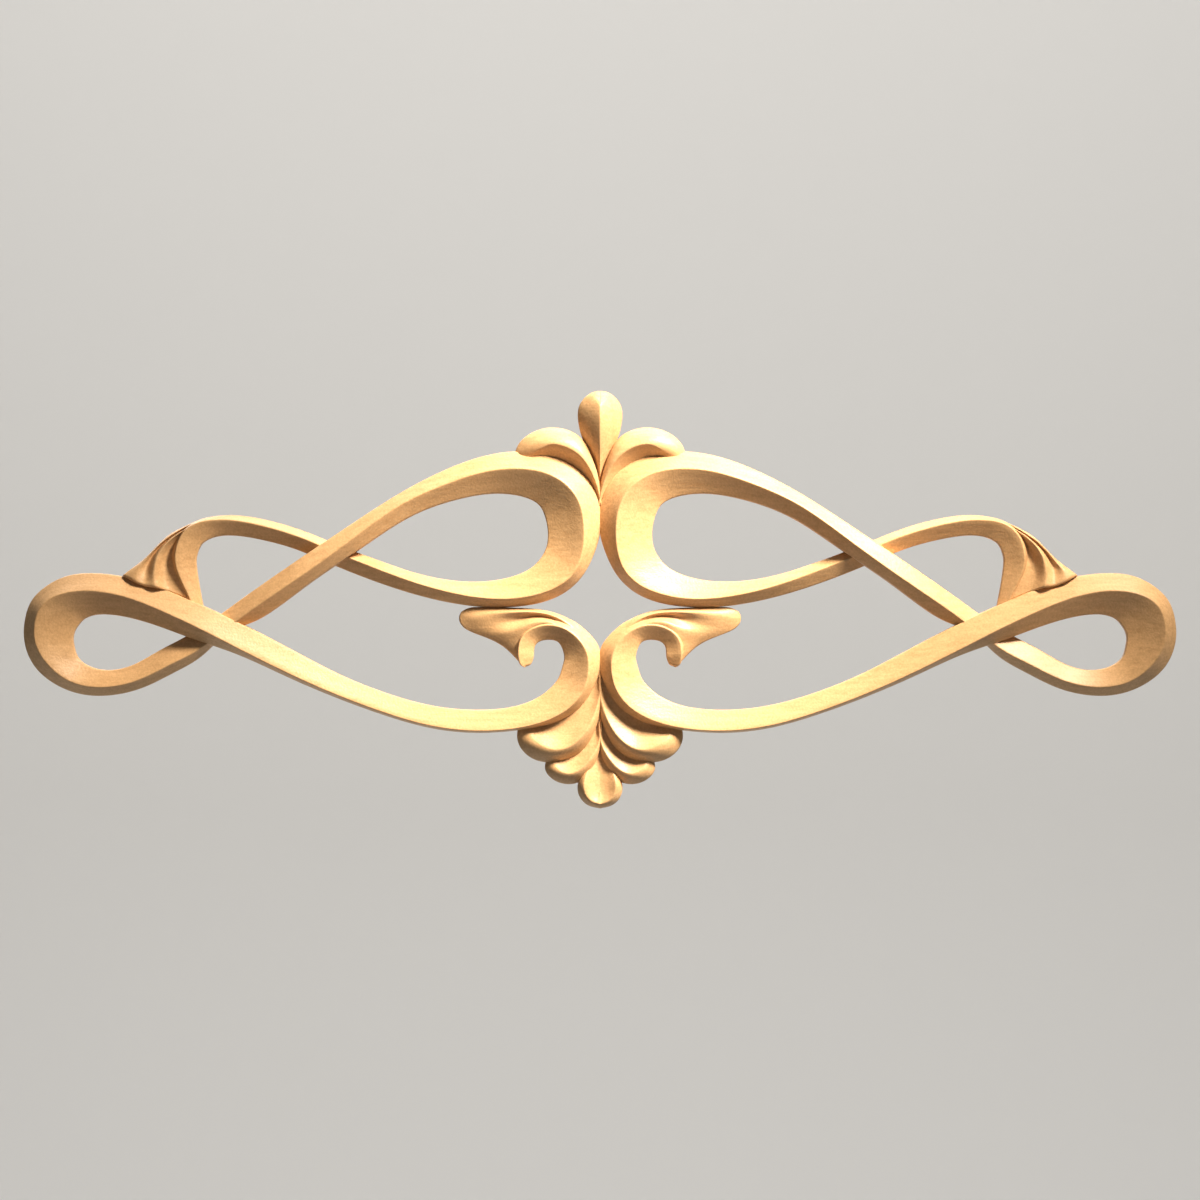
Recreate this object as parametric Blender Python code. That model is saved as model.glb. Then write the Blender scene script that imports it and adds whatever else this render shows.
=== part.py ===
"""Carved scroll onlay: one symmetrical piece of pierced relief with a flat back.

A ribbon with a raised ridge winds through each half as a tear-shaped loop, an end loop and a
scroll, and passes over and under itself. A crown, a pendant and small leaves grow from it.
Metres, X across, Z up, the front towards -Y and the back in the plane Y = 0. The origin is on
the back, behind the place where the two tear-shaped loops meet.
"""

import math

import bpy
import numpy as np

OVERALL_LENGTH = 0.500
MM = 0.001

# Relief of the ribbon, measured from the back.
EDGE_LOW = 0.0034
EDGE_HIGH = 0.0088
RIDGE_BASE_RISE = 0.0019
RIDGE_RISE_PER_WIDTH = 0.24
RIBBON_SCOOP = (-0.02, -0.02)

# How finely the curves are cut into facets.
TURN_STEP = 0.16
LENGTH_STEP = 0.015
FACETS_PER_FACE = 2
DENSE = 2000

# How far the strokes run on behind the back before it is cut flat.
BACK_ALLOWANCE = 0.004
CUTTER_DEPTH = 3.0 * BACK_ALLOWANCE

WOOD_COLOUR = (0.56, 0.30, 0.11)
WOOD_ROUGHNESS = 0.45
SHARP_ANGLE = math.radians(33)

# The outlines are free curves. Their points are in drawing units, x to the right and y down.
DRAWING_LENGTH = 1156
DRAWING_MOUNT = (600, 520)
UNIT = OVERALL_LENGTH / DRAWING_LENGTH

# Stations along the ribbon of the left half, from the hook to the curl's tip:
# ridge x, ridge y, width left of it, width right of it, lift (0 under, 1 over), lean in degrees.
RIBBON = [
    (196, 616, 3, 8, 0.0, 0),
    (186.5, 593, 4, 13, 0.0, 0),
    (176.5, 570, 4, 19.3, 0.1, 0),
    (175, 553, 4, 20.8, 0.2, 0),
    (181.5, 534.5, 3, 21.3, 0.25, 0),
    (196, 523, 2.4, 19.9, 0.25, 0),
    (214, 519.6, 3.7, 17, 0.2, 0),
    (235, 520.3, 5.3, 15.3, 0.2, 0),
    (265, 526.2, 6.5, 14.2, 0.1, 0),
    (300, 537, 6.8, 13.3, 0.0, 0),
    (335, 551.7, 7.3, 13.2, 0.0, 0),
    (370, 565.8, 8, 13.2, 0.0, 0),
    (410, 580.7, 9, 12, 0.15, 0),
    (450, 592.3, 12.2, 10.4, 0.2, 0),
    (485, 598.2, 17.2, 9, 0.2, 0),
    (515, 598.5, 22.5, 8.4, 0.2, 0),
    (540, 593.8, 28, 8.8, 0.2, 0),
    (560, 585.2, 34, 8.8, 0.2, 0),
    (575, 571, 36.5, 9, 0.2, 0),
    (582.5, 551, 36.3, 12, 0.2, 0),
    (584, 528, 36.5, 17, 0.2, 0),
    (580, 504.5, 37.3, 19, 0.2, 0),
    (569, 487.3, 36, 20, 0.2, 0),
    (549, 474.2, 31.5, 18.6, 0.2, 0),
    (520, 468.6, 27, 17.6, 0.2, 0),
    (485, 471.8, 22.3, 16, 0.25, 0),
    (445, 484.5, 17.5, 13.8, 0.4, 0),
    (400, 505.5, 14.5, 11, 0.7, 0),
    (350, 541, 12, 13.5, 1.0, 0),
    (300, 577, 10.7, 15.6, 0.9, 0),
    (250, 611, 11.2, 15.2, 0.3, 0),
    (225, 630, 3.5, 16, 0.1, 0),
    (197, 650.3, 6.8, 18, 0.15, 0),
    (168, 665.6, 8.6, 18, 0.2, 0),
    (135, 681, 8.8, 16.2, 0.2, 0),
    (100, 687.2, 9, 17.4, 0.2, 0),
    (69.5, 681, 10, 22.3, 0.2, 0),
    (47, 663, 13.2, 30, 0.2, 9),
    (36.2, 643.3, 12.8, 35.6, 0.2, 9),
    (35, 626, 12.4, 38.3, 0.2, 3),
    (40, 609.5, 13, 39.6, 0.2, -5),
    (53, 597.5, 14.5, 36.1, 0.2, -19),
    (74, 591.4, 17.5, 28.7, 0.25, -18),
    (98, 591.2, 18, 23.4, 0.3, -8),
    (130, 598.2, 19.5, 19.6, 0.4, 0),
    (165, 612, 20.5, 16, 0.6, 0),
    (200, 628.4, 21.5, 12.6, 0.8, 0),
    (240, 649.2, 23, 6.2, 0.75, 0),
    (285, 672, 22.3, 4, 0.5, 0),
    (340, 696.6, 19.5, 3, 0.25, 0),
    (400, 718.2, 19.3, 2.5, 0.2, 0),
    (440, 728, 20.4, 2.2, 0.2, 0),
    (480, 731.4, 21.2, 1.9, 0.2, 0),
    (520, 728.2, 22.3, 2.2, 0.2, 0),
    (550, 719.5, 25.3, 4.8, 0.2, 0),
    (572, 705.6, 27.8, 6.8, 0.2, 0),
    (585, 687, 28, 8, 0.2, 0),
    (588.7, 667, 26.5, 12, 0.2, 0),
    (586.3, 651, 24, 13, 0.2, 0),
    (578, 638.5, 20.3, 11.3, 0.2, 0),
    (565, 628.8, 15.5, 10.6, 0.2, 0),
    (549, 625, 15, 8, 0.2, 0),
    (534, 627.8, 15, 5, 0.2, 0),
    (523.5, 635, 15.8, 3, 0.2, 0),
    (518.5, 645, 16.3, 2.5, 0.2, 4),
    (518, 655, 15.6, 1.2, 0.2, 10),
    (519, 661.2, 13.3, 0.9, 0.15, 19),
    (521.2, 665.4, 9.1, 0.9, 0.1, 42),
    (525, 667.3, 1.4, 0.8, 0.0, 41),
]

# Leaves of the left half. Each has its rails from one side to the other, and each rail its
# points from root to end: x, y, height above the back in millimetres. "bulge" is how far each
# face between two rails swells, or sinks where negative, as a share of its width. A leaf with
# no bulge runs smoothly across all its rails, as a fan of rounded lobes does.
LEAVES = {
    "crown_lobe": {
        "rails": [
            [(601.6, 504, 4.6), (598.5, 478, 5), (590, 452, 4.8), (578, 435, 4.4), (553, 427, 4),
             (530, 433, 4), (518, 444, 4), (515, 455, 4), (519, 463, 3.5)],
            [(600.5, 505, 5), (597, 488, 6.2), (588, 466, 8.6), (575, 452, 9.7),
             (560, 445.3, 10), (549, 445, 9.7), (539, 450, 8.6), (532, 457, 6),
             (531, 464, 3.5)],
            [(600, 507, 3.2), (593, 493, 3.2), (580, 477, 3.2), (565, 467, 3.2),
             (550, 462, 3.2), (538, 461.5, 3.2), (534, 465, 3)],
        ],
        "bulge": (0.14, -0.12),
    },
    "pendant_upper_lobe": {
        "rails": [
            [(601.4, 672, 4.2), (601, 700, 4.4), (597, 725, 3.6), (585, 748, 3), (570, 759, 3),
             (551, 763, 3), (532, 759, 3), (519, 746, 3), (517, 732, 3), (521, 722, 3)],
            [(600.4, 668, 4.5), (598.8, 695, 5.2), (591, 722, 7.4), (580, 738, 8.8),
             (567, 747.3, 9), (553, 749, 9), (540, 743.5, 8.3), (531.5, 733.5, 6),
             (531, 721, 3.5)],
            [(598, 664, 3.4), (590, 684, 4.2), (579, 700, 4.6), (565, 712.5, 4.6),
             (550, 718.5, 4.4), (538, 720, 4)],
        ],
        "bulge": (0.12, -0.13),
    },
    "pendant_lower_lobe": {
        "rails": [
            [(601.4, 700, 3.4), (601, 742, 3.2), (596, 762, 2.6), (586, 778, 2.2),
             (573, 784.6, 2.2), (557, 782.5, 2.2), (546, 773, 2.2), (545, 764, 2.2),
             (549, 755, 2.2)],
            [(600.6, 698, 3.5), (598.4, 742, 4.4), (590, 759, 6.3), (578, 770.6, 7),
             (567, 773, 6.8), (556.5, 766.5, 5.5), (554, 754, 2.6)],
            [(599, 696, 2.6), (593, 730, 2.8), (582, 746, 3), (568, 754, 3),
             (559, 753, 2.8)],
        ],
        "bulge": (0.12, -0.12),
    },
    "hook_leaf": {
        "rails": [
            [(216, 516.8, 4.4), (206, 518.3, 4.4), (195, 521.3, 4.4), (175, 530.3, 4.6),
             (165, 536.8, 4.8), (155, 546.3, 5), (145, 556.8, 5.4), (135, 565.3, 6),
             (128, 570.5, 6.6), (121.5, 575.6, 7)],
            [(216, 517.2, 5), (206, 519.2, 5.6), (192, 523.5, 6.2), (176, 532, 6.4),
             (163, 541, 6.8), (152.5, 551.5, 7.2), (144, 562, 7.6), (137.5, 571, 8.4),
             (134.5, 582.4, 9.4)],
            [(216, 517.6, 5), (207, 519.8, 5), (193, 524.5, 5), (177.5, 532.3, 5),
             (165.8, 541, 5.2), (156, 550.5, 5.4), (149.5, 560, 5.8), (146, 570, 6.6),
             (145.5, 586.6, 9.2)],
            [(216, 518, 6), (208, 520, 7), (193, 525, 7.6), (180, 532.4, 8),
             (170.5, 539.5, 8.4), (162.5, 548, 8.6), (157, 557.5, 8.9), (154.6, 567, 9.2),
             (154, 577, 9.4), (156.5, 588.2, 10)],
            [(216, 518.6, 5), (209, 521, 4.8), (195, 526.5, 4.8), (183.2, 533.8, 4.8),
             (175, 542, 4.8), (168.5, 551.5, 4.9), (164.8, 561, 5.2), (163.5, 571, 5.7),
             (164.5, 581, 6), (169.5, 592.6, 6.2)],
            [(216, 520, 4), (210, 522.5, 4), (197, 528.5, 4.4), (188, 536, 5), (182, 544, 5.8),
             (178, 553, 6.4), (177, 563, 6.6), (178, 573, 6.4), (182, 585, 6),
             (191, 602, 5.4)],
        ],
        "bulge": None,
    },
    "scroll_leaf": {
        "rails": [
            [(590, 641, 4), (580, 627.5, 4.4), (570, 619.5, 4.6), (556, 613.2, 4.6),
             (540, 609.5, 4.4), (515, 607.7, 4), (485, 607, 3.8), (469, 607.8, 3.6),
             (461, 611.5, 3.2)],
            [(587, 642, 6), (577, 631.5, 6.8), (566, 622.3, 7), (554, 616.3, 7.2),
             (540, 613, 7.2), (522, 612.3, 7), (503, 613.2, 6.8), (484, 615, 6.2),
             (470, 617, 5), (458.5, 618.5, 3.2)],
            [(584, 645, 6), (574, 634, 6.6), (563, 624.5, 6.6), (553, 618.8, 6),
             (545, 616.6, 5.4), (534, 615.8, 5), (523, 617.5, 4.9), (511, 621, 5),
             (497, 625, 5.4), (482, 628, 4.8), (465, 629, 3.2)],
            [(583, 646, 6.6), (572, 635.5, 7.2), (561, 626.5, 7.6), (551, 621.3, 7.5),
             (541, 619.7, 7.3), (531, 621.5, 7.2), (520, 626.5, 7), (508, 631.8, 6.2),
             (497, 636, 4.8), (486, 638, 3.2)],
            [(582, 647, 7), (571, 637, 7.5), (559, 628, 7.9), (549, 623.8, 8),
             (540, 623.5, 8), (531, 626, 7.8), (523, 632, 7.2), (516, 639.5, 6),
             (510, 645.5, 4.6), (505, 648.5, 3.2)],
            [(581, 648, 6), (569, 638, 6.4), (557, 630.5, 6.8), (548, 627.5, 7),
             (540, 628, 7), (532, 631.5, 7), (525.5, 638, 6.8), (521.5, 648, 5.8),
             (520.5, 658, 4.6), (521, 665, 3.2)],
        ],
        "bulge": None,
    },
    "drop": {
        "rails": [
            [(598, 738, 1.6), (593, 757, 1.8), (583, 772, 2.6), (577.5, 786, 3),
             (579.5, 797.5, 3), (588, 806, 3), (601.2, 809.2, 3)],
            [(598.8, 738, 2), (595.8, 757, 2.6), (588.8, 770, 4.4), (584.5, 783, 7),
             (586.5, 795, 7.2), (592.5, 801.6, 6.8), (601.2, 804.2, 6.4)],
            [(601.2, 738, 1.8), (601.2, 757, 2.2), (601.2, 770, 2.8), (601.2, 781, 3.4),
             (601.2, 789, 4), (601.2, 796, 4.8), (601.2, 802.5, 6)],
        ],
        "bulge": (0.16, -0.12),
    },
}

# The piece on the centre line, drawn whole in the same way.
CENTRE_PIECES = {
    "finial": {
        "rails": [
            [(599.4, 488, 1.8), (596, 468, 2), (588, 451, 2.4), (580.6, 433, 3.6),
             (577.6, 415, 4), (579.2, 405, 4), (583.6, 398, 4), (589.4, 393.2, 4),
             (594.6, 391, 4), (599.6, 390.4, 4)],
            [(600, 488, 2.6), (600, 468, 5.6), (600, 449, 8.6), (600, 431, 11),
             (600, 416, 11.8), (600, 404, 11), (600, 396, 8.6), (600, 390.5, 4.2)],
            [(600.6, 488, 1.8), (604, 468, 2), (612, 451, 2.4), (619.4, 433, 3.6),
             (622.4, 415, 4), (620.8, 405, 4), (616.4, 398, 4), (610.6, 393.2, 4),
             (605.4, 391, 4), (600.4, 390.4, 4)],
        ],
        "bulge": (0.06, 0.06),
    },
}


def knots_of(points):
    """Knot of each point, from 0 to 1, spaced by the square root of the step to it."""
    steps = np.linalg.norm(np.diff(points[:, :2], axis=0), axis=1) ** 0.5
    knots = np.concatenate([[0.0], np.cumsum(steps)])
    return knots / knots[-1]


def spline(knots, values, places):
    """Natural cubic spline through the rows of values, read at the places."""
    count = len(knots)
    gaps = np.diff(knots)
    system = np.zeros((count, count))
    target = np.zeros(values.shape)
    system[0, 0] = 1.0
    system[-1, -1] = 1.0
    for i in range(1, count - 1):
        system[i, i - 1:i + 2] = gaps[i - 1], 2.0 * (gaps[i - 1] + gaps[i]), gaps[i]
        slope_after = (values[i + 1] - values[i]) / gaps[i]
        slope_before = (values[i] - values[i - 1]) / gaps[i - 1]
        target[i] = 6.0 * (slope_after - slope_before)
    bend = np.linalg.solve(system, target)
    i = np.clip(np.searchsorted(knots, places, side="right") - 1, 0, count - 2)
    gap = gaps[i][:, None]
    after = (places - knots[i])[:, None] / gap
    before = 1.0 - after
    curve = bend[i] * (before**3 - before) + bend[i + 1] * (after**3 - after)
    return before * values[i] + after * values[i + 1] + curve * gap**2 / 6.0


def ribbon_rails():
    """Left edge, ridge and right edge of the ribbon, each with its knots."""
    rows = np.array(RIBBON, float)
    ridge, lift, lean = rows[:, :2], rows[:, 4], np.radians(rows[:, 5])
    knots = knots_of(ridge)
    travel = np.gradient(ridge, knots, axis=0)
    travel /= np.linalg.norm(travel, axis=1)[:, None]
    right = np.stack([-travel[:, 1], travel[:, 0]], axis=1)
    right = right * np.cos(lean)[:, None] - travel * np.sin(lean)[:, None]
    width = (rows[:, 2] + rows[:, 3]) * UNIT
    edge_height = EDGE_LOW + (EDGE_HIGH - EDGE_LOW) * lift
    ridge_height = edge_height + RIDGE_BASE_RISE + RIDGE_RISE_PER_WIDTH * width
    sides = (
        (ridge - right * rows[:, 2:3], edge_height),
        (ridge, ridge_height),
        (ridge + right * rows[:, 3:4], edge_height),
    )
    return [(knots, np.column_stack([plan, height / MM])) for plan, height in sides]


def leaf_rails(leaf):
    rails = [np.array(rail, float) for rail in leaf["rails"]]
    return [(knots_of(rail), rail) for rail in rails]


def read_rails(rails):
    """Rails read at common stations, closer together where a rail turns: metres, x, y, z."""
    places = np.linspace(0.0, 1.0, DENSE)
    curves = np.array([spline(knots, values, places) for knots, values in rails])
    centre = np.array(DRAWING_MOUNT, float)
    across = (curves[..., 0] - centre[0]) * UNIT
    up = (centre[1] - curves[..., 1]) * UNIT
    curves = np.stack([across, -curves[..., 2] * MM, up], axis=-1)
    steps = np.diff(curves, axis=1)
    lengths = np.linalg.norm(steps, axis=2)
    ways = steps / np.maximum(lengths, 1e-12)[..., None]
    turns = np.linalg.norm(np.diff(ways, axis=1), axis=2)
    turns = np.pad(turns, ((0, 0), (1, 0)))
    cost = (turns / TURN_STEP).mean(axis=0) + lengths.max(axis=0) / LENGTH_STEP
    cost = np.concatenate([[0.0], np.cumsum(cost)])
    stations = np.linspace(0.0, cost[-1], int(np.ceil(cost[-1])) + 1)
    picked = np.round(np.interp(stations, cost, np.arange(DENSE))).astype(int)
    return curves[:, picked]


def sections(rails, bulges):
    """Grid of the front surface, station by station and across from rail to rail."""
    count = len(rails)
    shares = np.arange(1, FACETS_PER_FACE + 1) / FACETS_PER_FACE
    if bulges is None:
        places = np.concatenate([[0.0], (np.arange(count - 1)[:, None] + shares).ravel()])
        flat = spline(np.arange(count, dtype=float), rails.reshape(count, -1), places)
        return flat.reshape(len(places), -1, 3).transpose(1, 0, 2)
    columns = [rails[0]]
    for left, right, bulge in zip(rails, rails[1:], bulges):
        width = np.linalg.norm((right - left)[:, [0, 2]], axis=1)
        for share in shares:
            column = left + (right - left) * share
            column[:, 1] -= bulge * width * 4.0 * share * (1.0 - share)
            columns.append(column)
    return np.stack(columns, axis=1)


def shell(front, back_y):
    """Closed shell from a grid of the front surface: straight walls down to a flat back."""
    stations, across = front.shape[:2]
    back = front.copy()
    back[..., 1] = back_y
    points = np.concatenate([front.reshape(-1, 3), back.reshape(-1, 3)])
    index = np.arange(stations * across).reshape(stations, across)
    faces = []

    def add(corners, flip):
        faces.append(corners[::-1] if flip else corners)

    for i in range(stations - 1):
        for j in range(across - 1):
            quad = [index[i, j], index[i + 1, j], index[i + 1, j + 1], index[i, j + 1]]
            add(quad, False)
            add([corner + index.size for corner in quad], True)
    rim = np.concatenate([index[:-1, 0], index[-1, :-1], index[:0:-1, -1], index[0, :0:-1]])
    for a, b in zip(rim, np.roll(rim, -1)):
        add([a, b, b + index.size, a + index.size], True)
    area = 0.0
    for quad in faces[0:2 * (stations - 1) * (across - 1):2]:
        x, z = points[quad][:, 0], points[quad][:, 2]
        area += np.sum(x * np.roll(z, -1) - z * np.roll(x, -1))
    if area < 0.0:
        faces = [face[::-1] for face in faces]
    return points, faces


def joined(shells):
    """Points and faces of several shells as one list."""
    points, faces, start = [], [], 0
    for shell_points, shell_faces in shells:
        points.append(shell_points)
        faces.extend([int(corner) + start for corner in face] for face in shell_faces)
        start += len(shell_points)
    return np.concatenate(points), faces


def mesh_object(name, points, faces):
    mesh = bpy.data.meshes.new(name)
    mesh.from_pydata([tuple(point) for point in points], [], faces)
    mesh.update()
    obj = bpy.data.objects.new(name, mesh)
    bpy.context.scene.collection.objects.link(obj)
    return obj


def wood(name, colour, roughness):
    material = bpy.data.materials.new(name)
    material.use_nodes = True
    surface = material.node_tree.nodes["Principled BSDF"]
    surface.inputs["Base Color"].default_value = (*colour, 1.0)
    surface.inputs["Roughness"].default_value = roughness
    return material


def block(name, low, high):
    """Box between two corners."""
    corners = [(x, y, z) for x in (low[0], high[0]) for y in (low[1], high[1])
               for z in (low[2], high[2])]
    faces = [(0, 1, 3, 2), (4, 6, 7, 5), (0, 4, 5, 1), (2, 3, 7, 6), (0, 2, 6, 4), (1, 5, 7, 3)]
    return mesh_object(name, np.array(corners), [list(face) for face in faces])


def main():
    for obj in list(bpy.data.objects):
        bpy.data.objects.remove(obj)

    strokes = [(ribbon_rails(), RIBBON_SCOOP)]
    strokes += [(leaf_rails(leaf), leaf["bulge"]) for leaf in LEAVES.values()]
    fronts = [sections(read_rails(rails), bulges) for rails, bulges in strokes]
    fronts += [front * (-1.0, 1.0, 1.0) for front in fronts]
    for piece in CENTRE_PIECES.values():
        fronts.append(sections(read_rails(leaf_rails(piece)), piece["bulge"]))
    shells = []
    for number, front in enumerate(fronts):
        depth = BACK_ALLOWANCE * (1.0 + number / len(fronts))
        shells.append(shell(front, depth))
    onlay = mesh_object("scroll_onlay", *joined(shells))
    onlay.data.materials.append(wood("carved_wood", WOOD_COLOUR, WOOD_ROUGHNESS))
    onlay.data.shade_smooth()
    onlay.data.set_sharp_from_angle(angle=SHARP_ANGLE)

    reach = OVERALL_LENGTH
    cutter = block("back_cutter", (-reach, 0.0, -reach), (reach, CUTTER_DEPTH, reach))
    cutter.hide_render = True
    cutter.display_type = "WIRE"

    flat_back = onlay.modifiers.new("flat_back", "BOOLEAN")
    flat_back.operation = "DIFFERENCE"
    flat_back.solver = "EXACT"
    flat_back.use_self = True
    flat_back.object = cutter


main()
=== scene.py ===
import math

import bpy
import numpy as np
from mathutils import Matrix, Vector


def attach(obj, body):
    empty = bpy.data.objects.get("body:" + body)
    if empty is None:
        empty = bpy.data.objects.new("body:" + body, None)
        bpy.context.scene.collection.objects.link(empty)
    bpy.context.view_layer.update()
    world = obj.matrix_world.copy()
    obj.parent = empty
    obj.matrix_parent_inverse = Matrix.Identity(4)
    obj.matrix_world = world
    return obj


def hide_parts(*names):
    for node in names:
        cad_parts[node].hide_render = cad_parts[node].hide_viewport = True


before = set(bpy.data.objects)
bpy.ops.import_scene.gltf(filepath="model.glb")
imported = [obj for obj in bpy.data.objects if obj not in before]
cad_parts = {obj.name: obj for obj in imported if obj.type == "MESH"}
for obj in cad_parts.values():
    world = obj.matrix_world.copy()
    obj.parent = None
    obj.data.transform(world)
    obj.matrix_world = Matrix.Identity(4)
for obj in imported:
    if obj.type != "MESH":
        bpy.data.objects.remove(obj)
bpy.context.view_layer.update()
print("frame loaded")

mm = 0.001
unit = 0.5 / 1156          # metres in one drawing unit
drawingMount = (600, 520)  # the drawing point over the mount, x to the right and y down

# How finely the carving is cut, in millimetres unless named otherwise.
carving = {
    "rimInset": 0.02,            # outline drawn in by this, to lie inside the solid's
    "rimInsetShare": 0.1,        # and by no more than this share of a face
    "rimRound": 0.45,            # radius that the gouge edges are eased to
    "rimShare": 0.4,             # share of the width that the easing may take
    "ridgeRound": 0.35,          # radius that the ribbon's ridge is eased to
    "ridgeShare": 0.35,          # share of the narrower face that the easing may take
    "nearRail": (0.0, 0.05, 0.16, 0.33, 0.6),  # places of the columns beside a rail
    "nearShare": 0.4,            # share of a face that those columns may take
    "midColumns": 3,             # columns between them
    "readings": 6000,            # places along a rail from which the stations are picked
    "turnStep": 0.10,            # most turn between stations, radians
    "longestStep": 1.6,          # farthest between stations
    "endStations": 8,            # more stations in a rounded end
    "backAllowance": 4.0,        # least depth of a stroke behind the back before the cut
    "creaseAngle": 33.0,         # degrees
}

# The ribbon of the left half, from the hook to the tip of the curl:
# ridge x, ridge y, width left of it, width right of it, lift (0 under, 1 over), lean in degrees.
ribbon = {
    "edgeLow": 3.4,
    "edgeHigh": 8.8,
    "ridgeBaseRise": 1.9,
    "ridgeRisePerWidth": 0.24,
    "scoop": (-0.02, -0.02),
    "rows": [
        (196, 616, 3, 8, 0.0, 0), (186.5, 593, 4, 13, 0.0, 0), (176.5, 570, 4, 19.3, 0.1, 0),
        (175, 553, 4, 20.8, 0.2, 0), (181.5, 534.5, 3, 21.3, 0.25, 0),
        (196, 523, 2.4, 19.9, 0.25, 0),
        (214, 519.6, 3.7, 17, 0.2, 0), (235, 520.3, 5.3, 15.3, 0.2, 0),
        (265, 526.2, 6.5, 14.2, 0.1, 0), (300, 537, 6.8, 13.3, 0.0, 0),
        (335, 551.7, 7.3, 13.2, 0.0, 0), (370, 565.8, 8, 13.2, 0.0, 0),
        (410, 580.7, 9, 12, 0.15, 0), (450, 592.3, 12.2, 10.4, 0.2, 0),
        (485, 598.2, 17.2, 9, 0.2, 0), (515, 598.5, 22.5, 8.4, 0.2, 0),
        (540, 593.8, 28, 8.8, 0.2, 0), (560, 585.2, 34, 8.8, 0.2, 0), (575, 571, 36.5, 9, 0.2, 0),
        (582.5, 551, 36.3, 12, 0.2, 0), (584, 528, 36.5, 17, 0.2, 0),
        (580, 504.5, 37.3, 19, 0.2, 0), (569, 487.3, 36, 20, 0.2, 0),
        (549, 474.2, 31.5, 18.6, 0.2, 0), (520, 468.6, 27, 17.6, 0.2, 0),
        (485, 471.8, 22.3, 16, 0.25, 0), (445, 484.5, 17.5, 13.8, 0.4, 0),
        (400, 505.5, 14.5, 11, 0.7, 0), (350, 541, 12, 13.5, 1.0, 0),
        (300, 577, 10.7, 15.6, 0.9, 0), (250, 611, 11.2, 15.2, 0.3, 0),
        (225, 630, 3.5, 16, 0.1, 0), (197, 650.3, 6.8, 18, 0.15, 0), (168, 665.6, 8.6, 18, 0.2, 0),
        (135, 681, 8.8, 16.2, 0.2, 0), (100, 687.2, 9, 17.4, 0.2, 0), (69.5, 681, 10, 22.3, 0.2, 0),
        (47, 663, 13.2, 30, 0.2, 9), (36.2, 643.3, 12.8, 35.6, 0.2, 9),
        (35, 626, 12.4, 38.3, 0.2, 3),
        (40, 609.5, 13, 39.6, 0.2, -5), (53, 597.5, 14.5, 36.1, 0.2, -19),
        (74, 591.4, 17.5, 28.7, 0.25, -18), (98, 591.2, 18, 23.4, 0.3, -8),
        (130, 598.2, 19.5, 19.6, 0.4, 0), (165, 612, 20.5, 16, 0.6, 0),
        (200, 628.4, 21.5, 12.6, 0.8, 0), (240, 649.2, 23, 6.2, 0.75, 0),
        (285, 672, 22.3, 4, 0.5, 0), (340, 696.6, 19.5, 3, 0.25, 0),
        (400, 718.2, 19.3, 2.5, 0.2, 0), (440, 728, 20.4, 2.2, 0.2, 0),
        (480, 731.4, 21.2, 1.9, 0.2, 0), (520, 728.2, 22.3, 2.2, 0.2, 0),
        (550, 719.5, 25.3, 4.8, 0.2, 0), (572, 705.6, 27.8, 6.8, 0.2, 0),
        (585, 687, 28, 8, 0.2, 0), (588.7, 667, 26.5, 12, 0.2, 0),
        (586.3, 651, 24, 13, 0.2, 0), (578, 638.5, 20.3, 11.3, 0.2, 0),
        (565, 628.8, 15.5, 10.6, 0.2, 0), (549, 625, 15, 8, 0.2, 0), (534, 627.8, 15, 5, 0.2, 0),
        (523.5, 635, 15.8, 3, 0.2, 0), (518.5, 645, 16.3, 2.5, 0.2, 4),
        (518, 655, 15.6, 1.2, 0.2, 10), (519, 661.2, 13.3, 0.9, 0.15, 19),
        (521.2, 665.4, 9.1, 0.9, 0.1, 42), (525, 667.3, 1.4, 0.8, 0.0, 41),
    ],
}

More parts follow.
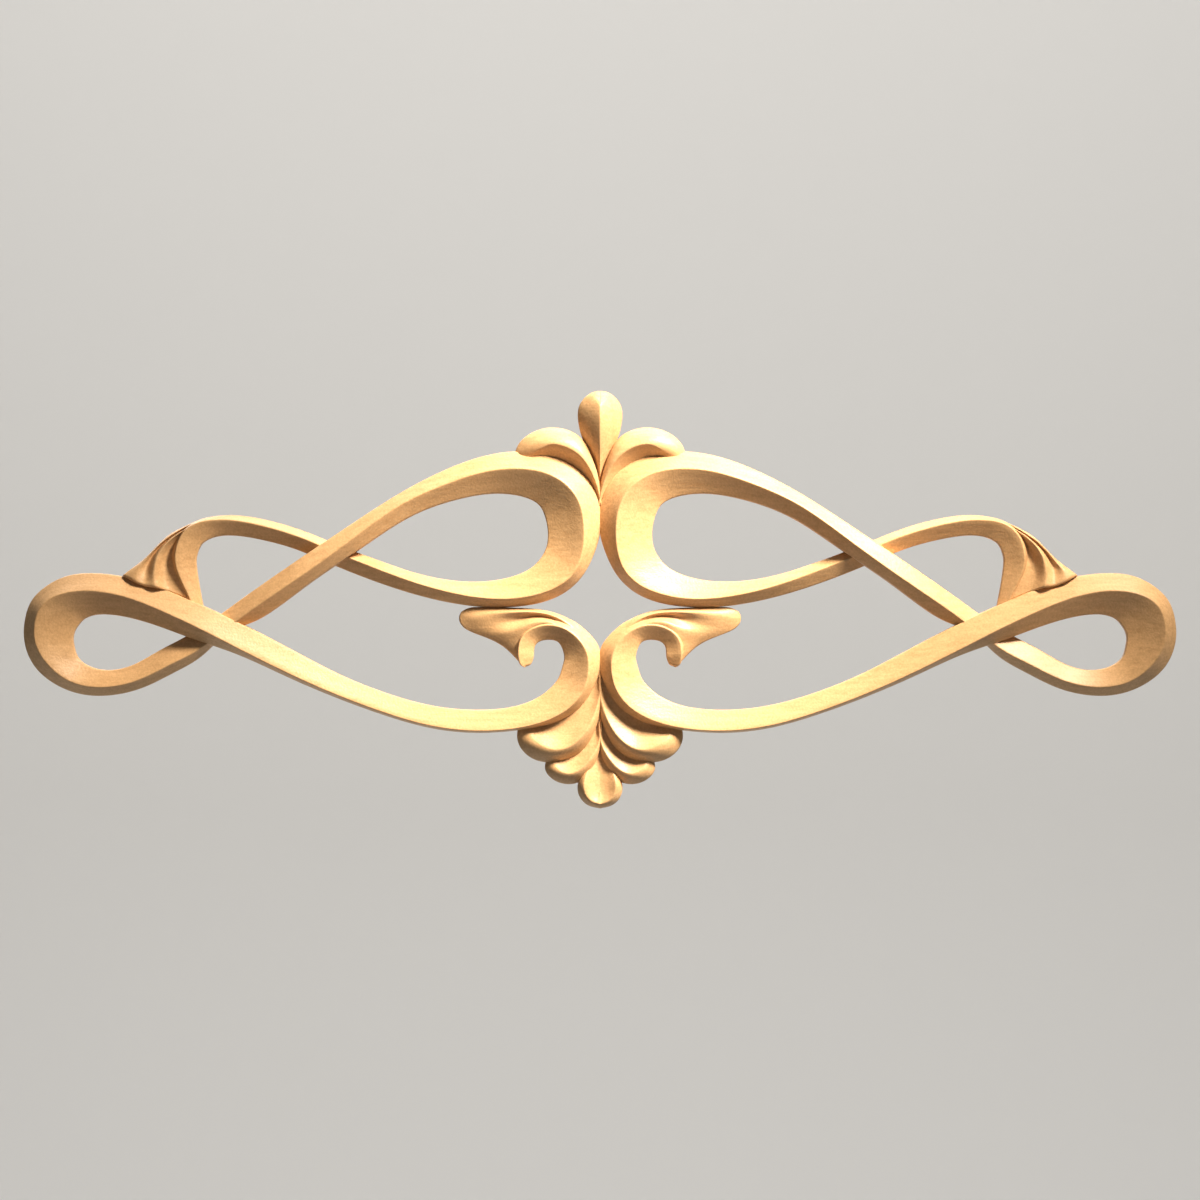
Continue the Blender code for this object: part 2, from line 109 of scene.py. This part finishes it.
# Leaves of the left half: rails from one side to the other, each from root to end as x, y and
# height above the back in millimetres. "bulge" is how far a face between two rails swells or
# sinks, as a share of its width, and "ridges" the radius that each inner rail is eased to. A leaf
# with no bulge runs smoothly across all its rails. "fan" spreads the rails' plan in one smooth
# curve. "endRound" is the radius that its end is rounded to. A leaf that meets its mirror image
# runs a little past the centre line, so that the two overlap.
leaves = {
    "crownLobe": {
        "rails": [
            [(601.6, 504, 4.6), (598.5, 478, 5), (590, 452, 4.8), (578, 435, 4.4), (553, 427, 4),
             (530, 433, 4), (518, 444, 4), (515, 455, 4), (519, 463, 3.5)],
            [(600.5, 505, 5), (597, 488, 6.2), (588, 466, 8.6), (575, 452, 9.7),
             (560, 445.3, 10), (549, 445, 9.7), (539, 450, 8.6), (532, 457, 6),
             (531, 464, 3.5)],
            [(600, 507, 3.2), (593, 493, 3.2), (580, 477, 3.2), (565, 467, 3.2),
             (550, 462, 3.2), (538, 461.5, 3.2), (534, 465, 3)],
        ],
        "bulge": (0.14, -0.12), "ridges": (0.5,), "fan": False, "endRound": 0.0,
    },
    "pendantUpperLobe": {
        "rails": [
            [(601.4, 672, 4.2), (601, 700, 4.4), (597, 725, 3.6), (585, 748, 3), (570, 759, 3),
             (551, 763, 3), (532, 759, 3), (519, 746, 3), (517, 732, 3), (521, 722, 3)],
            [(600.4, 668, 4.5), (598.8, 695, 5.2), (591, 722, 7.4), (580, 738, 8.8),
             (567, 747.3, 9), (553, 749, 9), (540, 743.5, 8.3), (531.5, 733.5, 6),
             (531, 721, 3.5)],
            [(598, 664, 3.4), (590, 684, 4.2), (579, 700, 4.6), (565, 712.5, 4.6),
             (550, 718.5, 4.4), (538, 720, 4)],
        ],
        "bulge": (0.12, -0.13), "ridges": (0.85,), "fan": False, "endRound": 0.0,
    },
    "pendantLowerLobe": {
        "rails": [
            [(601.4, 700, 3.4), (601, 742, 3.2), (596, 762, 2.6), (586, 778, 2.2),
             (573, 784.6, 2.2), (557, 782.5, 2.2), (546, 773, 2.2), (545, 764, 2.2),
             (549, 755, 2.2)],
            [(600.6, 698, 3.5), (598.4, 742, 4.4), (590, 759, 6.3), (578, 770.6, 7),
             (567, 773, 6.8), (556.5, 766.5, 5.5), (554, 754, 2.6)],
            [(599, 696, 2.6), (593, 730, 2.8), (582, 746, 3), (568, 754, 3),
             (559, 753, 2.8)],
        ],
        "bulge": (0.12, -0.12), "ridges": (0.75,), "fan": False, "endRound": 0.0,
    },
    "hookLeaf": {
        "rails": [
            [(216, 516.8, 4.4), (206, 518.3, 4.4), (195, 521.3, 4.4), (175, 530.3, 4.6),
             (165, 536.8, 4.8), (155, 546.3, 5), (145, 556.8, 5.4), (135, 565.3, 6),
             (128, 570.5, 6.6), (121.5, 575.6, 7)],
            [(216, 517.2, 5), (206, 519.2, 5.6), (192, 523.5, 6.2), (176, 532, 6.4),
             (163, 541, 6.8), (152.5, 551.5, 7.2), (144, 562, 7.6), (137.5, 571, 8.4),
             (134.5, 582.4, 9.4)],
            [(216, 517.6, 5), (207, 519.8, 5), (193, 524.5, 5), (177.5, 532.3, 5),
             (165.8, 541, 5.2), (156, 550.5, 5.4), (149.5, 560, 5.8), (146, 570, 6.6),
             (145.5, 586.6, 9.2)],
            [(216, 518, 6), (208, 520, 7), (193, 525, 7.6), (180, 532.4, 8),
             (170.5, 539.5, 8.4), (162.5, 548, 8.6), (157, 557.5, 8.9), (154.6, 567, 9.2),
             (154, 577, 9.4), (156.5, 588.2, 10)],
            [(216, 518.6, 5), (209, 521, 4.8), (195, 526.5, 4.8), (183.2, 533.8, 4.8),
             (175, 542, 4.8), (168.5, 551.5, 4.9), (164.8, 561, 5.2), (163.5, 571, 5.7),
             (164.5, 581, 6), (169.5, 592.6, 6.2)],
            [(216, 520, 4), (210, 522.5, 4), (197, 528.5, 4.4), (188, 536, 5), (182, 544, 5.8),
             (178, 553, 6.4), (177, 563, 6.6), (178, 573, 6.4), (182, 585, 6),
             (191, 602, 5.4)],
        ],
        "bulge": None, "ridges": (), "fan": True, "endRound": 1.6,
    },
    "scrollLeaf": {
        "rails": [
            [(590, 641, 4), (580, 627.5, 4.4), (570, 619.5, 4.6), (556, 613.2, 4.6),
             (540, 609.5, 4.4), (515, 607.7, 4), (485, 607, 3.8), (469, 607.8, 3.6),
             (461, 611.5, 3.2)],
            [(587, 642, 6), (577, 631.5, 6.8), (566, 622.3, 7), (554, 616.3, 7.2),
             (540, 613, 7.2), (522, 612.3, 7), (503, 613.2, 6.8), (484, 615, 6.2),
             (470, 617, 5), (458.5, 618.5, 3.2)],
            [(584, 645, 6), (574, 634, 6.6), (563, 624.5, 6.6), (553, 618.8, 6),
             (545, 616.6, 5.4), (534, 615.8, 5), (523, 617.5, 4.9), (511, 621, 5),
             (497, 625, 5.4), (482, 628, 4.8), (465, 629, 3.2)],
            [(583, 646, 6.6), (572, 635.5, 7.2), (561, 626.5, 7.6), (551, 621.3, 7.5),
             (541, 619.7, 7.3), (531, 621.5, 7.2), (520, 626.5, 7), (508, 631.8, 6.2),
             (497, 636, 4.8), (486, 638, 3.2)],
            [(582, 647, 7), (571, 637, 7.5), (559, 628, 7.9), (549, 623.8, 8),
             (540, 623.5, 8), (531, 626, 7.8), (523, 632, 7.2), (516, 639.5, 6),
             (510, 645.5, 4.6), (505, 648.5, 3.2)],
            [(581, 648, 6), (569, 638, 6.4), (557, 630.5, 6.8), (548, 627.5, 7),
             (540, 628, 7), (532, 631.5, 7), (525.5, 638, 6.8), (521.5, 648, 5.8),
             (520.5, 658, 4.6), (521, 665, 3.2)],
        ],
        "bulge": None, "ridges": (), "fan": True, "endRound": 0.8,
    },
    "drop": {
        "rails": [
            [(598, 738, 1.6), (593, 757, 1.8), (583, 772, 2.6), (577.5, 786, 3),
             (579.5, 797.5, 3), (588, 806, 3), (601.2, 809.2, 3)],
            [(598.8, 738, 2), (595.8, 757, 2.6), (588.8, 770, 4.4), (584.5, 783, 7),
             (586.5, 795, 7.2), (592.5, 801.6, 6.8), (601.2, 804.2, 6.4)],
            [(601.2, 738, 1.8), (601.2, 757, 2.2), (601.2, 770, 2.8), (601.2, 781, 3.4),
             (601.2, 789, 4), (601.2, 796, 4.8), (601.2, 802.5, 6)],
        ],
        "bulge": (0.16, -0.12), "ridges": (0.7,), "fan": False, "endRound": 0.0,
    },
}

# The piece on the centre line, drawn whole in the same way. "endSoften" is how far from its
# end the ridge goes soft, and the radius that it reaches there, in millimetres.
centrePieces = {
    "finial": {
        "rails": [
            [(599.4, 488, 1.8), (596, 468, 2), (588, 451, 2.4), (580.6, 433, 3.6),
             (577.6, 415, 4), (579.2, 405, 4), (583.6, 398, 4), (589.4, 393.2, 4),
             (594.6, 391, 4), (599.6, 390.4, 4)],
            [(600, 488, 2.6), (600, 468, 5.6), (600, 449, 8.6), (600, 431, 11),
             (600, 416, 11.8), (600, 404, 11), (600, 396, 8.6), (600, 390.5, 4.2)],
            [(600.6, 488, 1.8), (604, 468, 2), (612, 451, 2.4), (619.4, 433, 3.6),
             (622.4, 415, 4), (620.8, 405, 4), (616.4, 398, 4), (610.6, 393.2, 4),
             (605.4, 391, 4), (600.4, 390.4, 4)],
        ],
        "bulge": (0.06, 0.06), "ridges": (0.35,), "fan": False, "endRound": 0.0,
        "endSoften": (10.0, 4.0),
    },
}


# knot of each point from 0 to 1: the running sum of the square roots of the steps between them
def knotsOf(points):
    steps = np.linalg.norm(np.diff(points[:, :2], axis=0), axis=1) ** 0.5
    knots = np.concatenate([[0.0], np.cumsum(steps)])
    return knots / knots[-1]


# natural cubic spline: the second derivatives that make the slopes meet at every knot, then in
# each gap the chord plus a cubic of those derivatives
def spline(knots, values, places):
    count = len(knots)
    gaps = np.diff(knots)
    slopes = np.diff(values, axis=0) / gaps[:, None]
    system = np.eye(count)
    inner = np.arange(1, count - 1)
    system[inner, inner - 1] = gaps[:-1]
    system[inner, inner] = 2.0 * (gaps[:-1] + gaps[1:])
    system[inner, inner + 1] = gaps[1:]
    target = np.zeros(values.shape)
    target[1:-1] = 6.0 * np.diff(slopes, axis=0)
    bend = np.linalg.solve(system, target)
    i = np.clip(np.searchsorted(knots, places, side="right") - 1, 0, count - 2)
    gap = gaps[i][:, None]
    after = (places - knots[i])[:, None] / gap
    before = 1.0 - after
    curve = bend[i] * (before**3 - before) + bend[i + 1] * (after**3 - after)
    return before * values[i] + after * values[i + 1] + curve * gap**2 / 6.0


# the ribbon's two edges and its ridge: the ridge points moved sideways by the widths, square to
# the direction of travel or leaning from it, with heights from the lift and the whole width
def ribbonRails():
    rows = np.array(ribbon["rows"], float)
    ridge, lift, lean = rows[:, :2], rows[:, 4], np.radians(rows[:, 5])
    knots = knotsOf(ridge)
    travel = np.gradient(ridge, knots, axis=0)
    travel /= np.linalg.norm(travel, axis=1)[:, None]
    right = np.stack([-travel[:, 1], travel[:, 0]], axis=1)
    right = right * np.cos(lean)[:, None] - travel * np.sin(lean)[:, None]
    width = (rows[:, 2] + rows[:, 3]) * unit / mm
    edge = ribbon["edgeLow"] + (ribbon["edgeHigh"] - ribbon["edgeLow"]) * lift
    crest = edge + ribbon["ridgeBaseRise"] + ribbon["ridgeRisePerWidth"] * width
    left = ridge - right * rows[:, 2:3]
    far = ridge + right * rows[:, 3:4]
    sides = (left, edge), (ridge, crest), (far, edge)
    return [(knots, np.column_stack(side)) for side in sides]


def leafRails(leaf):
    rails = [np.array(rail, float) for rail in leaf["rails"]]
    return [(knotsOf(rail), rail) for rail in rails]


# all rails read at common stations in millimetres as x, z and height. The stations are spaced by
# the sum of the path's length and its turning, and lie closer beside an end that is rounded. The
# distance left to the end of each rail comes with them.
def readRails(rails, endRound):
    readings = carving["readings"]
    places = np.linspace(0.0, 1.0, readings)
    curves = np.array([spline(knots, values, places) for knots, values in rails])
    scale = unit / mm
    curves = np.stack([(curves[..., 0] - drawingMount[0]) * scale,
                       (drawingMount[1] - curves[..., 1]) * scale, curves[..., 2]], axis=-1)
    steps = np.diff(curves, axis=1)
    lengths = np.linalg.norm(steps, axis=2)
    ways = steps / np.maximum(lengths, 1e-9)[..., None]
    turns = np.pad(np.linalg.norm(np.diff(ways, axis=1), axis=2), ((0, 0), (1, 0)))
    toEnd = np.cumsum(np.pad(lengths, ((0, 0), (0, 1)))[:, ::-1], axis=1)[:, ::-1]
    cost = (turns / carving["turnStep"]).mean(axis=0)
    cost += lengths.max(axis=0) / carving["longestStep"]
    if endRound > 0.0:
        nearEnd = toEnd[:, :-1].mean(axis=0) < endRound
        cost += nearEnd * lengths.mean(axis=0) * carving["endStations"] / endRound
    cost = np.concatenate([[0.0], np.cumsum(cost)])
    stations = np.linspace(0.0, cost[-1], int(np.ceil(cost[-1])) + 1)
    picked = np.round(np.interp(stations, cost, np.arange(readings))).astype(int)
    return curves[:, picked], toEnd[:, picked]


# columns across one face, from 0 to 1: close together beside both rails and even between them
def faceColumns(width):
    near = np.array(carving["nearRail"])
    middle = carving["midColumns"]
    squeeze = np.minimum(1.0, carving["nearShare"] * width / near[-1])
    start = near * (squeeze / width)[:, None]
    steps = np.arange(1, middle + 1) / (middle + 1)
    between = start[:, -1:] + (1.0 - 2.0 * start[:, -1:]) * steps
    return np.concatenate([start, between, 1.0 - start[:, ::-1]], axis=1)


# how far a quarter round of this radius lies below the corner that it eases: the radius less the
# root of (radius squared less inset squared), where inset is radius less the distance
def quarterRound(distance, radius):
    inset = np.clip(radius - distance, 0.0, radius)
    return radius - np.sqrt(np.maximum(radius**2 - inset**2, 0.0))


# the front of one stroke as a grid, station by station and across. The plan runs straight from
# rail to rail, or along a spline in a fan, and so does the height, along a spline where there is no
# bulge. A face swells by four times its bulge times its width times share times the rest. At an
# inner rail the height drops by half the change of slope times (root of (distance squared plus
# radius squared) less distance), faded by one less the square of the share of the way to the next
# rail. The rims and a rounded end drop by their quarter rounds.
def frontGrid(rails, toEnd, stroke):
    count = len(rails)
    numbers = np.arange(count)
    widths = np.linalg.norm(np.diff(rails[..., :2], axis=0), axis=2)
    widths = np.maximum(widths, 1e-3)
    position = [faceColumns(width)[:, min(i, 1):] + i for i, width in enumerate(widths)]
    position = np.concatenate(position, axis=1)
    inset = np.minimum(carving["rimInset"] / widths, carving["rimInsetShare"])[..., None]
    position = np.clip(position, inset[0], count - 1 - inset[-1])
    straight = np.clip(1.0 - np.abs(position[..., None] - numbers), 0.0, 1.0)
    smooth = spline(numbers.astype(float), np.eye(count), position.ravel())
    smooth = smooth.reshape(straight.shape)
    plan = np.einsum("scr,rsk->sck", smooth if stroke["fan"] else straight, rails[..., :2])
    height = np.einsum("scr,rs->sc", straight if stroke["bulge"] else smooth, rails[..., 2])
    if stroke["bulge"]:
        swell = np.array(stroke["bulge"])[:, None]
        slope = np.diff(rails[..., 2], axis=0) / widths
        for i in range(count - 1):
            share = np.clip(position - i, 0.0, 1.0)
            height += swell[i] * widths[i][:, None] * 4.0 * share * (1.0 - share)
        for i, radius in enumerate(stroke["ridges"], start=1):
            before, after = widths[i - 1][:, None], widths[i][:, None]
            away = position - i
            distance = np.where(away < 0.0, -away * before, away * after)
            reach, soft = stroke.get("endSoften", (1.0, radius))
            nearness = np.clip(1.0 - toEnd[i] / reach, 0.0, 1.0)[:, None]
            radius = radius + (soft - radius) * nearness
            radius = np.minimum(radius, carving["ridgeShare"] * np.minimum(before, after))
            fold = slope[i - 1] - 4.0 * swell[i - 1] - slope[i] - 4.0 * swell[i]
            fade = np.clip(1.0 - away**2, 0.0, 1.0)
            bend = np.sqrt(distance**2 + radius**2) - distance
            height -= 0.5 * fold[:, None] * bend * fade
    across = np.concatenate([np.zeros((1, widths.shape[1])), np.cumsum(widths, axis=0)])
    fromLeft = np.einsum("scr,rs->sc", straight, across)
    total = across[-1][:, None]
    fromRim = np.minimum(fromLeft, total - fromLeft)
    rimRadius = np.minimum(carving["rimRound"], carving["rimShare"] * total)
    height -= quarterRound(fromRim, rimRadius)
    if stroke["endRound"] > 0.0:
        height -= quarterRound(np.einsum("scr,rs->sc", straight, toEnd), stroke["endRound"])
    return np.concatenate([plan, height[..., None]], axis=-1)


# closed shell of a front grid: straight walls from its rim to a flat back at the given depth,
# which is one strip of faces with a wider face at either end
def shell(grid, depth):
    stations, across = grid.shape[:2]
    index = np.arange(stations * across).reshape(stations, across)
    rim = np.concatenate([index[:-1, 0], index[-1, :-1], index[:0:-1, -1], index[0, :0:-1]])
    points = grid.reshape(-1, 3)
    low = points[rim] * (1.0, 1.0, 0.0) - (0.0, 0.0, depth)
    lowIndex = np.arange(len(rim)) + len(points)
    corner = stations - 1 + across - 1
    left = lowIndex[:stations]
    right = lowIndex[corner:corner + stations][::-1]
    quads = np.stack([index[:-1, :-1], index[1:, :-1], index[1:, 1:], index[:-1, 1:]], axis=-1)
    walls = np.stack([lowIndex, np.roll(lowIndex, -1), np.roll(rim, -1), rim], axis=-1)
    back = np.stack([left[:-1], right[:-1], right[1:], left[1:]], axis=-1)[1:-1]
    firstFace = [left[1], left[0], *lowIndex[corner + stations:][::-1], right[0], right[1]]
    lastFace = [right[-2], *lowIndex[stations - 1:corner + 1][::-1], left[-2]]
    faces = [*quads.reshape(-1, 4).tolist(), *walls.tolist(), *back.tolist(), firstFace, lastFace]
    cornersA, cornersB = points[quads[..., [0, 1]]], points[quads[..., [2, 3]]]
    diagonals = cornersB - cornersA
    area = np.sum(diagonals[..., 0, 0] * diagonals[..., 1, 1]
                  - diagonals[..., 0, 1] * diagonals[..., 1, 0])
    if area < 0.0:
        faces = [face[::-1] for face in faces]
    return np.concatenate([points, low]), faces


def meshObject(name, points, faces):
    mesh = bpy.data.meshes.new(name)
    mesh.from_pydata(points, [], faces)
    mesh.update()
    obj = bpy.data.objects.new(name, mesh)
    bpy.context.scene.collection.objects.link(obj)
    return obj


# box between two opposite corners: each corner takes the low or high value on each axis
def blockObject(name, low, high):
    pick = np.array([(i & 1, i >> 1 & 1, i >> 2 & 1) for i in range(8)])
    faces = [(0, 2, 3, 1), (4, 5, 7, 6), (0, 1, 5, 4), (2, 6, 7, 3), (0, 4, 6, 2), (1, 3, 7, 5)]
    return meshObject(name, np.where(pick, high, low), faces)


# all the strokes joined in one solid and cut flat behind. Each reaches a little deeper than the one
# before it, so that no two of their own backs share a plane.
def carvedOnlay():
    ribbonStroke = {"bulge": ribbon["scoop"], "ridges": (carving["ridgeRound"],), "fan": False,
                    "endRound": 0.0}
    grids = [frontGrid(*readRails(ribbonRails(), 0.0), ribbonStroke)]
    for leaf in leaves.values():
        grids.append(frontGrid(*readRails(leafRails(leaf), leaf["endRound"]), leaf))
    grids += [grid * (-1.0, 1.0, 1.0) for grid in grids]
    for piece in centrePieces.values():
        grids.append(frontGrid(*readRails(leafRails(piece), piece["endRound"]), piece))
    points, faces, start = [], [], 0
    for number, grid in enumerate(grids):
        depth = carving["backAllowance"] * (1.0 + number / len(grids))
        shellPoints, shellFaces = shell(grid, depth)
        points.append(shellPoints)
        faces += [[corner + start for corner in face] for face in shellFaces]
        start += len(shellPoints)
    points = np.concatenate(points)
    places = np.stack([points[:, 0], -points[:, 2], points[:, 1]], axis=-1) * mm
    strokes = meshObject("carvedStrokes", places, faces)
    reach = 2.0 * np.abs(places).max()
    cutter = blockObject("backCutter", (-reach, 0.0, -reach), (reach, reach, reach))
    cut = strokes.modifiers.new("flatBack", "BOOLEAN")
    cut.operation = "DIFFERENCE"
    cut.solver = "EXACT"
    cut.use_self = True
    cut.object = cutter
    graph = bpy.context.evaluated_depsgraph_get()
    mesh = bpy.data.meshes.new_from_object(strokes.evaluated_get(graph))
    bpy.data.objects.remove(strokes)
    bpy.data.objects.remove(cutter)
    mesh.name = "scrollOnlay"
    mesh.shade_smooth()
    mesh.set_sharp_from_angle(angle=math.radians(carving["creaseAngle"]))
    obj = bpy.data.objects.new("scrollOnlay", mesh)
    bpy.context.scene.collection.objects.link(obj)
    return obj


timber = {
    "colour": (0.73, 0.455, 0.225),
    "deep": (0.55, 0.32, 0.145),
    "roughness": 0.42,
    "ior": 1.45,
    "grainScale": (45.0, 520.0, 520.0),  # waves in a metre, few along the grain
    "grainDetail": 4.0,
    "speckleScale": 1100.0,
    "speckleDetail": 2.0,
    "contrast": (0.33, 0.67),            # noise values that give the two tones
    "poreDepth": 0.00012,                # metres
    "poreStrength": 0.5,
}


# honey-coloured wood, sanded and waxed: two tones mixed by the mean of fine grain along X and a
# faint speckle, which also sinks the surface by its share of the pore depth
def waxedWood():
    material = bpy.data.materials.new("waxedWood")
    material.use_nodes = True
    nodes, links = material.node_tree.nodes, material.node_tree.links
    surface = nodes["Principled BSDF"]
    place = nodes.new("ShaderNodeTexCoord")
    stretch = nodes.new("ShaderNodeMapping")
    stretch.inputs["Scale"].default_value = timber["grainScale"]
    grain = nodes.new("ShaderNodeTexNoise")
    grain.inputs["Scale"].default_value = 1.0
    grain.inputs["Detail"].default_value = timber["grainDetail"]
    speckle = nodes.new("ShaderNodeTexNoise")
    speckle.inputs["Scale"].default_value = timber["speckleScale"]
    speckle.inputs["Detail"].default_value = timber["speckleDetail"]
    blend = nodes.new("ShaderNodeMath")
    blend.operation = "MULTIPLY_ADD"
    blend.inputs[1].default_value = 0.5
    spread = nodes.new("ShaderNodeMapRange")
    spread.inputs["From Min"].default_value = timber["contrast"][0]
    spread.inputs["From Max"].default_value = timber["contrast"][1]
    tones = nodes.new("ShaderNodeMix")
    tones.data_type = "RGBA"
    tones.inputs["A"].default_value = (*timber["deep"], 1.0)
    tones.inputs["B"].default_value = (*timber["colour"], 1.0)
    half = nodes.new("ShaderNodeMath")
    half.operation = "MULTIPLY"
    half.inputs[1].default_value = 0.5
    pores = nodes.new("ShaderNodeBump")
    pores.inputs["Strength"].default_value = timber["poreStrength"]
    pores.inputs["Distance"].default_value = timber["poreDepth"]
    surface.inputs["Roughness"].default_value = timber["roughness"]
    surface.inputs["IOR"].default_value = timber["ior"]
    links.new(place.outputs["Object"], stretch.inputs["Vector"])
    links.new(stretch.outputs["Vector"], grain.inputs["Vector"])
    links.new(place.outputs["Object"], speckle.inputs["Vector"])
    links.new(speckle.outputs["Fac"], half.inputs[0])
    links.new(grain.outputs["Fac"], blend.inputs[0])
    links.new(half.outputs["Value"], blend.inputs[2])
    links.new(blend.outputs["Value"], spread.inputs["Value"])
    links.new(spread.outputs["Result"], tones.inputs["Factor"])
    links.new(spread.outputs["Result"], pores.inputs["Height"])
    links.new(pores.outputs["Normal"], surface.inputs["Normal"])
    links.new(tones.outputs["Result"], surface.inputs["Base Color"])
    return material


onlay = carvedOnlay()
onlay.data.materials.clear()
onlay.data.materials.append(waxedWood())
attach(onlay, "root")
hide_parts("scroll_onlay")
print("onlay carved:", len(onlay.data.polygons), "faces")

studio = {
    "floorDrop": 1.10,        # floor below the origin
    "wallAway": 4.0,          # wall behind the onlay
    "wallHigh": 6.0,          # above the floor
    "floorFront": 6.0,        # floor in front of the onlay
    "halfWidth": 8.0,
    "bend": 0.8,              # radius of the sweep from floor to wall
    "bendSteps": 24,
    "matt": 0.9,              # roughness of the sweep
    "pale": (0.80, 0.79, 0.77),
    "worldStrength": 0.13,
    "key": {"place": (0.45, -0.44, 0.64), "aim": (0.015, 0.0, -0.03), "radius": 0.14,
            "power": 168.0, "colour": (1.0, 0.87, 0.70), "cone": 31.0},
    "softLights": {           # place, aim, size, power, colour
        "wallLight": ((0.0, 0.9, 2.6), (0.0, 3.4, 0.2), 2.5, 112.0, (1.0, 0.98, 0.95)),
        "rearLight": ((-0.8, 1.5, 1.0), (0.0, 0.0, 0.0), 1.0, 9.0, (1.0, 0.97, 0.93)),
    },
}


# pale sweep: a flat floor, a quarter circle and a flat wall, carried across as straight lines
def backdrop():
    drop, away, bend = studio["floorDrop"], studio["wallAway"], studio["bend"]
    angle = np.linspace(0.0, math.pi / 2.0, studio["bendSteps"] + 1)
    y = np.concatenate([[-studio["floorFront"]], away - bend + bend * np.sin(angle), [away]])
    z = np.concatenate([[0.0], bend - bend * np.cos(angle), [studio["wallHigh"]]]) - drop
    x = np.array([-studio["halfWidth"], studio["halfWidth"]])
    grid = np.stack(np.broadcast_arrays(x[None, :], y[:, None], z[:, None]), axis=-1)
    index = np.arange(grid.size // 3).reshape(len(y), 2)
    faces = np.stack([index[:-1, 0], index[:-1, 1], index[1:, 1], index[1:, 0]], axis=-1)
    sweep = meshObject("paleSweep", grid.reshape(-1, 3), faces.tolist())
    sweep.data.shade_smooth()
    paint = bpy.data.materials.new("palePaint")
    paint.use_nodes = True
    surface = paint.node_tree.nodes["Principled BSDF"]
    surface.inputs["Base Color"].default_value = (*studio["pale"], 1.0)
    surface.inputs["Roughness"].default_value = studio["matt"]
    sweep.data.materials.append(paint)
    return sweep


def aimedLight(name, kind, place, aim, power, colour):
    light = bpy.data.lights.new(name, kind)
    light.energy = power
    light.color = colour
    obj = bpy.data.objects.new(name, light)
    obj.location = place
    obj.rotation_euler = (Vector(aim) - Vector(place)).to_track_quat("-Z", "Y").to_euler()
    obj.visible_camera = False
    bpy.context.scene.collection.objects.link(obj)
    return light


# warm lamp from above on the right, whose soft cone fades towards both ends of the onlay
def keyLight(key):
    light = aimedLight("keyLight", "SPOT", key["place"], key["aim"], key["power"], key["colour"])
    light.shadow_soft_size = key["radius"]
    light.spot_size = math.radians(key["cone"])
    light.spot_blend = 1.0


def softLight(name, place, aim, size, power, colour):
    light = aimedLight(name, "AREA", place, aim, power, colour)
    light.shape = "DISK"
    light.size = size


backdrop()
keyLight(studio["key"])
for name, settings in studio["softLights"].items():
    softLight(name, *settings)
world = bpy.data.worlds.new("studioAir")
world.use_nodes = True
world.node_tree.nodes["Background"].inputs["Color"].default_value = (*studio["pale"], 1.0)
world.node_tree.nodes["Background"].inputs["Strength"].default_value = studio["worldStrength"]
bpy.context.scene.world = world
bpy.context.scene.view_settings.view_transform = "Standard"
print("studio lit")

# the photograph looks square on at the middle of a frame 1200 drawing units wide, measured at
# this height of the relief in millimetres
view = {"lens": 135.0, "sensor": 36.0, "frameUnits": 1200, "centre": (600, 600), "relief": 9.0}
camera = bpy.data.cameras.new("photoCamera")
camera.lens = view["lens"]
camera.sensor_width = view["sensor"]
cameraObject = bpy.data.objects.new("photoCamera", camera)
distance = view["frameUnits"] * unit * view["lens"] / view["sensor"]
cameraObject.location = ((view["centre"][0] - drawingMount[0]) * unit,
                         -distance - view["relief"] * mm,
                         (drawingMount[1] - view["centre"][1]) * unit)
cameraObject.rotation_euler = (math.pi / 2.0, 0.0, 0.0)
bpy.context.scene.collection.objects.link(cameraObject)
bpy.context.scene.camera = cameraObject
print("camera placed")
